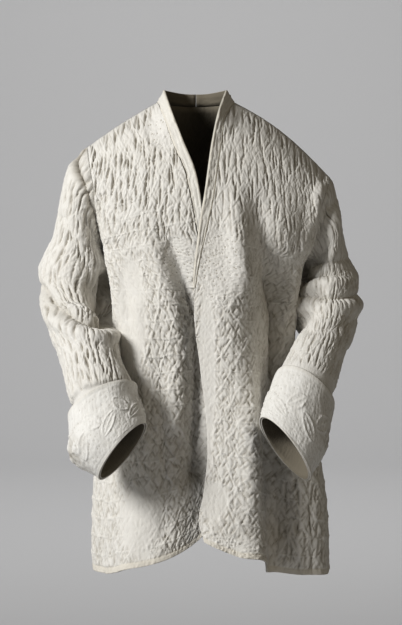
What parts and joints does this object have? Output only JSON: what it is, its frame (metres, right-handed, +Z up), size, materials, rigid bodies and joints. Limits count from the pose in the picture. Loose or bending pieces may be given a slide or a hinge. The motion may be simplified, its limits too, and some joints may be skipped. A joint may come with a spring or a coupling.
{
  "type": "quilted dressing jacket",
  "caption": "Loose corded-quilted wrap jacket in its worn form, hollow, with a narrow neck band, wide bent sleeves and turned-back cuffs, open at neck, hem and wrists.",
  "frame": {"origin": "base of the neck, midway between the neck ends of the two shoulder seams, where the wearer holds the jacket up", "axes": "+Z up along the body, the front of the jacket faces -Y, +X is to the right as seen from the front"},
  "size_m": [0.5308, 0.394, 0.7944],
  "materials": {
    "quilted_cotton": "matte",
    "band_cotton": "matte",
    "cuff_cotton": "matte"
  },
  "bodies": {
    "root": {"front_left": "quilted_cotton", "front_right": "quilted_cotton", "back": "quilted_cotton", "sleeve_left": "quilted_cotton", "sleeve_right": "quilted_cotton", "cuff_left": "cuff_cotton", "cuff_right": "cuff_cotton", "band_left": "band_cotton", "band_right": "band_cotton"}
  },
  "joints": []
}
